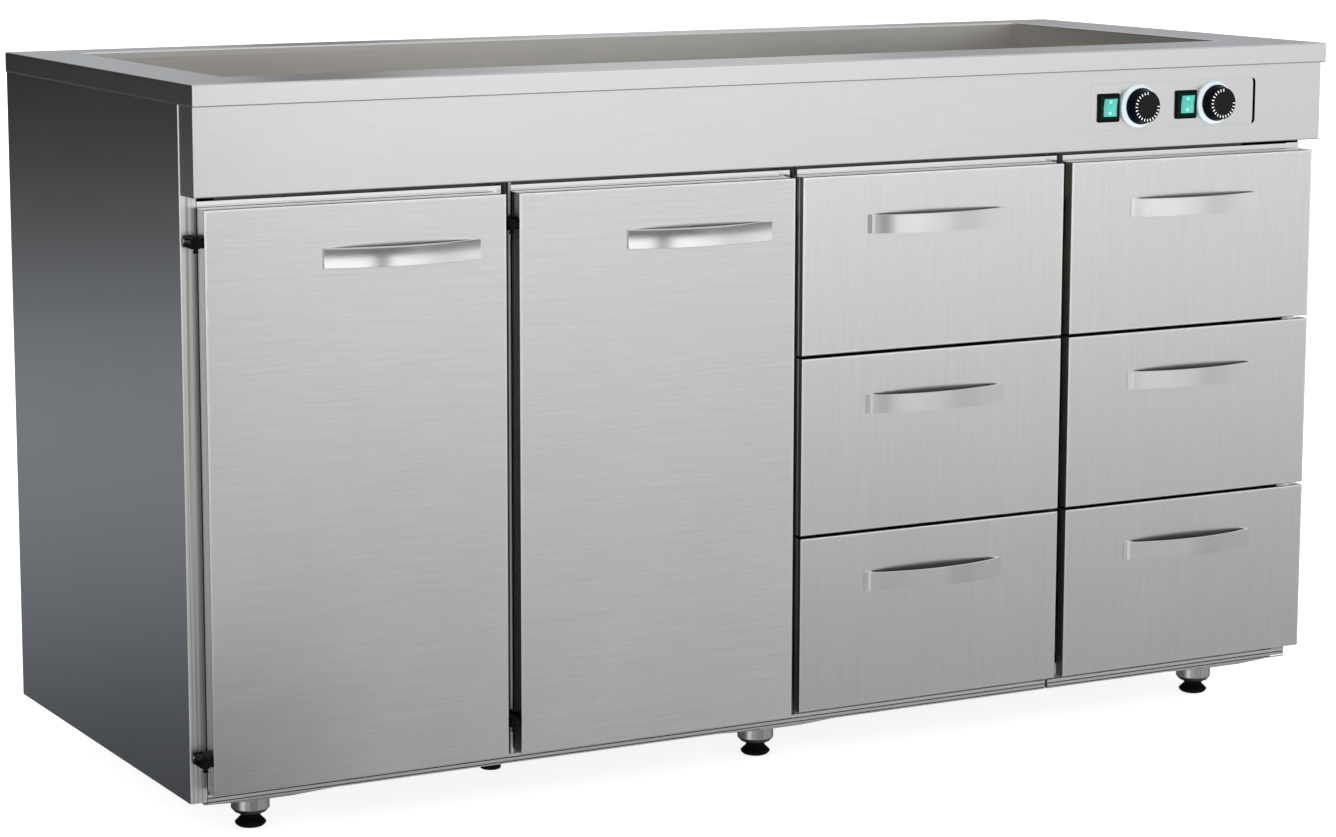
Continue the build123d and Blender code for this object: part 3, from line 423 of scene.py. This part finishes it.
def wool_material():
    m, t, p = material("mineral_wool")
    obj, _ = coords(t)
    a = t.noise(obj, 160.0, 6.0, 0.7, 2.5)
    b = t.noise(t.scale(obj, (900.0, 900.0, 60.0)), 1.0, 3.0, 0.7)
    v = t.math("MULTIPLY_ADD", a, 0.6, t.math("MULTIPLY", b, 0.4))
    t.put(p.inputs["Base Color"], t.ramp(v, [(0.3, (0.34, 0.27, 0.12)), (0.7, (0.66, 0.58, 0.34))]))
    t.put(p.inputs["Roughness"], t.range(v, 0.3, 0.7, 0.85, 1.0))
    t.put(p.inputs["Normal"], t.bump(v, 0.6, 0.002))
    return m


def heater_material():
    m, t, p = material("heat_tinted_sheath")
    obj, _ = coords(t)
    a = t.noise(obj, 14.0, 4.0, 0.6, 0.8)
    b = t.noise(obj, 900.0, 2.0, 0.6)
    t.put(p.inputs["Base Color"], t.ramp(a, [(0.3, (0.16, 0.14, 0.13)), (0.5, (0.26, 0.20, 0.15)), (0.62, (0.18, 0.17, 0.22)), (0.8, (0.3, 0.27, 0.22))]))
    t.put(p.inputs["Roughness"], t.range(b, 0.3, 0.7, 0.35, 0.5))
    p.inputs["Metallic"].default_value = 1.0
    t.put(p.inputs["Normal"], t.bump(b, 0.06, 0.0003))
    return m


def housing_material():
    """Black switch housing with a painted dim green glow inside the bezel, standing in for the light the lit lens
    casts there.
    """
    m, t, p = material("switch_housing")
    obj, _ = coords(t)
    x, y, z = place(t, obj)
    g = t.noise(obj, 2600.0, 2.0, 0.6)
    v = t.noise(obj, 60.0, 4.0, 0.6, 0.6)
    cast = None
    for xc in (1253.3, 1376.0):
        c = P(xc, 0, 820.4)
        dx = t.math("DIVIDE", t.math("ABSOLUTE", t.math("SUBTRACT", x, c.x)), 0.0147)
        dz = t.math("DIVIDE", t.math("ABSOLUTE", t.math("SUBTRACT", z, c.z)), 0.0159)
        k = t.range(t.math("MAXIMUM", dx, dz), 0.72, 1.0, 1.0, 0.0, True)
        cast = k if cast is None else t.math("MAXIMUM", cast, k)
    t.put(p.inputs["Base Color"], t.ramp(t.math("MULTIPLY_ADD", g, 0.5, t.math("MULTIPLY", v, 0.5)), [(0.3, (0.0016, 0.0016, 0.002)), (0.72, (0.004, 0.004, 0.0045))]))
    # painted glow of the lens's green light on the inside of each bezel
    t.put(p.inputs["Emission Color"], t.mix(cast, (0.0, 0.0, 0.0, 1.0), (0.001, 0.030, 0.026, 1.0)))
    p.inputs["Emission Strength"].default_value = 1.0
    t.put(p.inputs["Roughness"], t.range(v, 0.3, 0.7, 0.4, 0.54))
    p.inputs["Specular IOR Level"].default_value = 0.06
    t.put(p.inputs["Normal"], t.bump(g, 0.12, 0.0002))
    return m


M["knob"] = knob_material()
M["housing"] = housing_material()
M["liner"] = liner_material()
M["wool"] = wool_material()
M["heat"] = heater_material()
M["tick"] = plastic("white_marks", (0.80, 0.82, 0.83), (0.92, 0.93, 0.94), 0.4, grain=3000.0, bump=0.04)
tick = next(n for n in M["tick"].node_tree.nodes if n.type == "BSDF_PRINCIPLED")
# painted glow on the white marks, so they stay bright
tick.inputs["Emission Color"].default_value = (0.9, 0.93, 0.95, 1.0)
tick.inputs["Emission Strength"].default_value = 0.6

FINISH = {
    "worktop": "top", "well_basin": "well", "heating_elements": "heat", "basin_insulation": "wool", "basin_jacket": "galv", "drain_strainer": "cup",
    "drain_pipe": "black", "fascia_panel": "sheet_x", "control_plate": "sheet_x", "switch_housings": "housing", "knob_dials": "dial", "thermostats": "black",
    "left_side_panel": "side", "right_side_panel": "side", "back_panel": "sheet_x", "floor_panel": "inner", "base_rails": "base", "partitions": "frame",
    "top_rails": "rail", "cupboard_shelves": "inner", "hinge_brackets": "black", "drawer_runners": "galv", "foot_sockets": "cup", "cable_gland": "black",
    "left_knob": "knob", "right_knob": "knob",
}
for n, o in NODES.items():
    if n in FINISH:
        key = FINISH[n]
    elif n.endswith("_door_skin"):
        key = "door"
    elif n.endswith("_drawer_front"):
        key = "drawer"
    elif n.endswith("_door_handle"):
        key = "pull"
    elif n.endswith("_handle"):
        key = "handle"
    elif n.endswith("_liner"):
        key = "liner"
    elif n.endswith("_drawer_box"):
        key = "inner"
    elif n.endswith("_rocker"):
        key = None
    elif n.endswith("_foot"):
        key = "rubber"
    else:
        key = "black"          # hinge leaves
    mat = M[key] if key else lens_material(1253.3 if n.startswith("left") else 1376.0)
    for s in o.material_slots:
        s.material = mat


# ------------------------------------------------------------------ pieces
def mesh_piece(name, bm, mat, body, smooth=False):
    me = bpy.data.meshes.new(name)
    bm.to_mesh(me)
    bm.free()
    for f in me.polygons:
        f.use_smooth = smooth
    o = bpy.data.objects.new(name, me)
    scene.collection.objects.link(o)
    me.materials.append(mat)
    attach(o, body)
    return o


def knob_marks(side, xc):
    """White dial marks: short radial bars standing a little proud of the knob's face."""
    bm = bmesh.new()
    n, start, sweep = 19, 90.0, 270.0
    r0, r1, half, y0, y1 = 15.6, 19.0, 0.45, -13.5, -13.0
    for i in range(n):
        a = math.radians(start + sweep * i / (n - 1))      # anticlockwise from the top, seen from the front
        ra, h = r0, half
        ex, ez = math.cos(a), math.sin(a)
        tx, tz = -ez, ex
        ring = []
        for y, inset in ((y1, 0.0), (y0 + 0.08, 0.0), (y0, 0.09)):
            ring.append([bm.verts.new(P(xc + ex * r + tx * w, y, 821.3 + ez * r + tz * w))
                         for r, w in ((ra + inset, -h + inset), (r1 - inset, -h + inset), (r1 - inset, h - inset), (ra + inset, h - inset))])
        for a_, b_ in zip(ring, ring[1:]):
            for k in range(4):
                bm.faces.new((a_[k], a_[(k + 1) % 4], b_[(k + 1) % 4], b_[k]))
        bm.faces.new(ring[-1])
        bm.faces.new(ring[0][::-1])
    bmesh.ops.recalc_face_normals(bm, faces=bm.faces)
    return mesh_piece(f"{side}_knob_marks", bm, M["tick"], f"{side}_knob_body")


knob_marks("left", 1300.2)
knob_marks("right", 1421.2)


def screw_heads(name, spots, body):
    """Domed screw heads with a hexagonal socket. Each spot: centre on the seat in working mm, outward axis, radius."""
    bm = bmesh.new()
    for c, d, r in spots:
        d = Vector(d)
        u = d.orthogonal().normalized()
        v = d.cross(u)
        rings = []
        for k, h in ((1.0, 0.0), (1.0, 0.28), (0.93, 0.58), (0.76, 0.84), (0.55, 0.94), (0.46, 0.94), (0.44, 0.30)):
            ring = []
            for i in range(24):
                a = 2 * math.pi * i / 24
                q = r * k
                if k < 0.5:
                    q /= math.cos((a + math.pi / 6) % (math.pi / 3) - math.pi / 6)      # socket flats
                    q *= 0.9
                w = Vector(c) + d * h + u * (q * math.cos(a)) + v * (q * math.sin(a))
                ring.append(bm.verts.new(P(*w)))
            rings.append(ring)
        for a_, b_ in zip(rings, rings[1:]):
            for i in range(24):
                bm.faces.new((a_[i], a_[(i + 1) % 24], b_[(i + 1) % 24], b_[i]))
        bm.faces.new(rings[-1])
        bm.faces.new(rings[0][::-1])
    bmesh.ops.recalc_face_normals(bm, faces=bm.faces)
    return mesh_piece(name, bm, M["screw"], body)


HINGE_Z = (713.6, 111.0)
for side, xb, rb, xd in (("left", 8.0, 2.6, 17.3), ("right", 414.0, 2.2, 414.4)):
    screw_heads(f"{side}_hinge_frame_screws", [((xb, 50.5, z), (0, -1, 0), rb) for z in HINGE_Z], "cabinet")
    screw_heads(f"{side}_hinge_door_screws", [((xd, 29.8, z), (-1, 0, 0), 2.4) for z in HINGE_Z], f"{side}_door")

# ------------------------------------------------------------------ stage, light, camera
bm = bmesh.new()
R = 90.0
vs = [bm.verts.new((x * R, y * R, -0.0004)) for x, y in ((-1, -1), (1, -1), (1, 1), (-1, 1))]
bm.faces.new(vs)
me = bpy.data.meshes.new("floor")
bm.to_mesh(me)
bm.free()
floor = bpy.data.objects.new("floor", me)
scene.collection.objects.link(floor)
fm, ft, fp = material("pale_floor")
fo, _ = coords(ft)
fn = ft.noise(fo, 3.0, 5.0, 0.6)
ft.put(fp.inputs["Base Color"], ft.ramp(fn, [(0.3, (0.60, 0.60, 0.60)), (0.7, (0.63, 0.63, 0.63))]))
ft.put(fp.inputs["Roughness"], ft.range(fn, 0.3, 0.7, 0.8, 0.9))
fp.inputs["Specular IOR Level"].default_value = 0.0
fp.inputs["Emission Color"].default_value = (1.0, 1.0, 1.0, 1.0)
fp.inputs["Emission Strength"].default_value = 0.84
me.materials.append(fm)
floor.visible_glossy = False

world = bpy.data.worlds.new("studio")
scene.world = world
world.use_nodes = True
world.cycles.sampling_method = "NONE"
w = Tree(world.node_tree)
wo = w.new("ShaderNodeOutputWorld")
wd = w.new("ShaderNodeSeparateXYZ")
w.put(wd.inputs[0], w.new("ShaderNodeTexCoord").outputs["Generated"])
az = w.math("ARCTAN2", wd.outputs[0], wd.outputs[1])
el = w.math("ARCSINE", wd.outputs[2])
lift = w.range(el, math.radians(-60), math.radians(60), 0.0, 1.0)


def E(stops):
    return [((e + 60.0) / 120.0, tuple(0.5 * v * k for k in tint)) for e, v, tint in stops]


def hump(centre, flat, fade):
    # 1 within flat degrees of an azimuth, 0 beyond flat + fade
    d = w.math("ABSOLUTE", w.math("WRAP", w.math("SUBTRACT", az, math.radians(centre)), math.pi, -math.pi))
    return w.range(d, math.radians(flat), math.radians(flat + fade), 1.0, 0.0, True)


N1, COOL, WARM, SKY = (1.0, 1.0, 1.0), (0.925, 0.99, 1.09), (1.04, 1.03, 0.92), (0.955, 0.995, 1.045)
turn_az = w.math("ABSOLUTE", az)
upper = [(-9.3, 0.815, N1), (-7.7, 1.05, N1), (-6.2, 1.28, N1), (-4.5, 1.38, N1), (15.5, 1.38, N1), (19.5, 1.05, N1), (25, 0.92, N1), (60, 0.92, N1)]
low_dark = w.ramp(lift, E([(-60, 0.30, N1), (-40, 0.32, N1), (-23, 0.30, N1), (-18.5, 0.12, N1), (-15.5, 0.07, N1), (-14, 0.13, N1), (-12.5, 0.295, N1),
                           (-10.9, 0.56, N1)] + upper))
low_light = w.ramp(lift, E([(-60, 0.50, N1), (-30, 0.54, N1), (-23, 0.52, N1), (-18.5, 0.38, N1), (-15.5, 0.395, N1), (-14, 0.43, N1), (-12.5, 0.50, N1), (-10.9, 0.64, N1)] + upper))
front = w.mix(w.range(turn_az, math.radians(146), math.radians(160.8), 0.0, 1.0, True), low_light, low_dark)
fall = w.ramp(w.range(turn_az, math.radians(105), math.radians(165), 0.0, 1.0),
              [(0.0, (0.90, 0.905, 0.905)), (0.25, (0.88, 0.887, 0.885)), (0.42, (0.80, 0.808, 0.804)), (0.5, (0.77, 0.778, 0.774)), (0.6, (0.82, 0.828, 0.824)),
               (0.655, (0.91, 0.918, 0.914)), (0.705, (0.97, 0.977, 0.974)), (0.755, (1.03, 1.03, 1.03)), (0.815, (1.055, 1.055, 1.055)), (0.875, (1.055, 1.055, 1.055)),
               (0.925, (1.18, 1.18, 1.18))])
front = w.mix(1.0, front, fall, "MULTIPLY")
left = w.ramp(lift, E([(-60, 0.03, COOL), (-18, 0.035, COOL), (-14.5, 0.085, COOL), (-12.9, 0.19, COOL), (-11, 0.29, COOL), (-9.5, 0.34, COOL), (-8, 0.27, COOL),
                       (-6.5, 0.11, N1), (-5, 0.045, WARM), (-3, 0.012, WARM), (12, 0.015, WARM), (30, 0.35, N1), (60, 0.92, N1)]))
back = w.ramp(lift, E([(-60, 0.2, N1), (-10, 0.26, N1), (0, 0.33, SKY), (6, 0.39, SKY), (14, 0.50, SKY), (30, 0.86, N1), (60, 0.92, N1)]))
front = w.mix(w.math("MULTIPLY", hump(-113, 9.0, 7.0), 0.65), front, (0.60, 0.60, 0.60, 1.0))
low_band = w.math("MULTIPLY", w.range(el, math.radians(16), math.radians(9), 0.0, 1.0, True), w.range(el, math.radians(-3), math.radians(1), 0.0, 1.0, True))
back = w.mix(w.math("MULTIPLY", hump(29.6, 1.6, 2.8), low_band), back, (0.32, 0.33, 0.34, 1.0))
back = w.mix(w.math("MULTIPLY", hump(33.9, 0.8, 1.4), low_band), back, (0.145, 0.15, 0.155, 1.0))
back = w.mix(w.math("MULTIPLY", hump(23.4, 0.6, 1.1), low_band), back, (0.0, 0.0, 0.0, 1.0))
behind = w.range(wd.outputs[1], -0.25, 0.25, 0.0, 1.0, True)
to_left = w.math("MULTIPLY", w.range(az, math.radians(12), math.radians(-6), 0.0, 1.0, True), w.range(az, math.radians(-100), math.radians(-75), 0.0, 1.0, True))
room = w.mix(to_left, w.mix(behind, front, back), left)
glossy = w.new("ShaderNodeBackground")
w.put(glossy.inputs[0], room)
glossy.inputs[1].default_value = 2.0
plain = w.new("ShaderNodeBackground")
plain.inputs[0].default_value = (1.0, 1.0, 1.0, 1.0)
plain.inputs[1].default_value = 0.78
seen = w.new("ShaderNodeBackground")
seen.inputs[0].default_value = (1.0, 1.0, 1.0, 1.0)
seen.inputs[1].default_value = 1.0
lp = w.new("ShaderNodeLightPath")
ms1, ms2 = w.new("ShaderNodeMixShader"), w.new("ShaderNodeMixShader")
w.put(ms1.inputs[0], lp.outputs["Is Glossy Ray"])
w.put(ms1.inputs[1], plain.outputs[0])
w.put(ms1.inputs[2], glossy.outputs[0])
w.put(ms2.inputs[0], lp.outputs["Is Camera Ray"])
w.put(ms2.inputs[1], ms1.outputs[0])
w.put(ms2.inputs[2], seen.outputs[0])
w.put(wo.inputs[0], ms2.outputs[0])

# a soft-edged dark card in front of the counter, seen only in its reflections
bm = bmesh.new()
bm.faces.new([bm.verts.new((x, -3.75, z)) for x, z in ((-0.75, 0.0), (0.75, 0.0), (0.75, 2.1), (-0.75, 2.1))])
me = bpy.data.meshes.new("dark_card")
bm.to_mesh(me)
bm.free()
card = bpy.data.objects.new("dark_card", me)
scene.collection.objects.link(card)
cm = bpy.data.materials.new("dark_card")
cm.use_nodes = True
ct = Tree(cm.node_tree)
co = ct.new("ShaderNodeOutputMaterial")
cx = ct.math("ABSOLUTE", ct.math("SUBTRACT", place(ct, coords(ct)[0])[0], 0.02))
cmix = ct.new("ShaderNodeMixShader")
ct.put(cmix.inputs[0], ct.range(cx, 0.10, 0.36, 0.84, 0.0, True))
ct.put(cmix.inputs[1], ct.new("ShaderNodeBsdfTransparent").outputs[0])
cd = ct.new("ShaderNodeBsdfDiffuse")
cd.inputs[0].default_value = (0.0, 0.0, 0.0, 1.0)
ct.put(cmix.inputs[2], cd.outputs[0])
ct.put(co.inputs[0], cmix.outputs[0])
me.materials.append(cm)
card.visible_camera = card.visible_diffuse = card.visible_shadow = card.visible_transmission = False

sun = bpy.data.objects.new("soft_key", bpy.data.lights.new("soft_key", "SUN"))
scene.collection.objects.link(sun)
sun.data.energy = 1.3
sun.data.angle = math.radians(75)
sun.rotation_euler = Vector((0.35, -0.45, 1.0)).to_track_quat("Z", "Y").to_euler()
sun.visible_glossy = False

cam = bpy.data.objects.new("camera", bpy.data.cameras.new("camera"))
scene.collection.objects.link(cam)
cam.location = (-2.23408, -4.00208, 1.18213)
turn = Matrix.Rotation(-math.radians(28.059), 4, "Z") @ Matrix.Rotation(math.radians(90 - 9.003), 4, "X") @ Matrix.Rotation(math.radians(-0.0228), 4, "Z")
cam.rotation_euler = turn.to_euler()
cam.data.sensor_fit = "HORIZONTAL"
cam.data.sensor_width = 36.0
cam.data.lens = 95.11
cam.data.shift_x = 0.0415
cam.data.shift_y = -0.0277
cam.data.clip_end = 300.0
scene.camera = cam
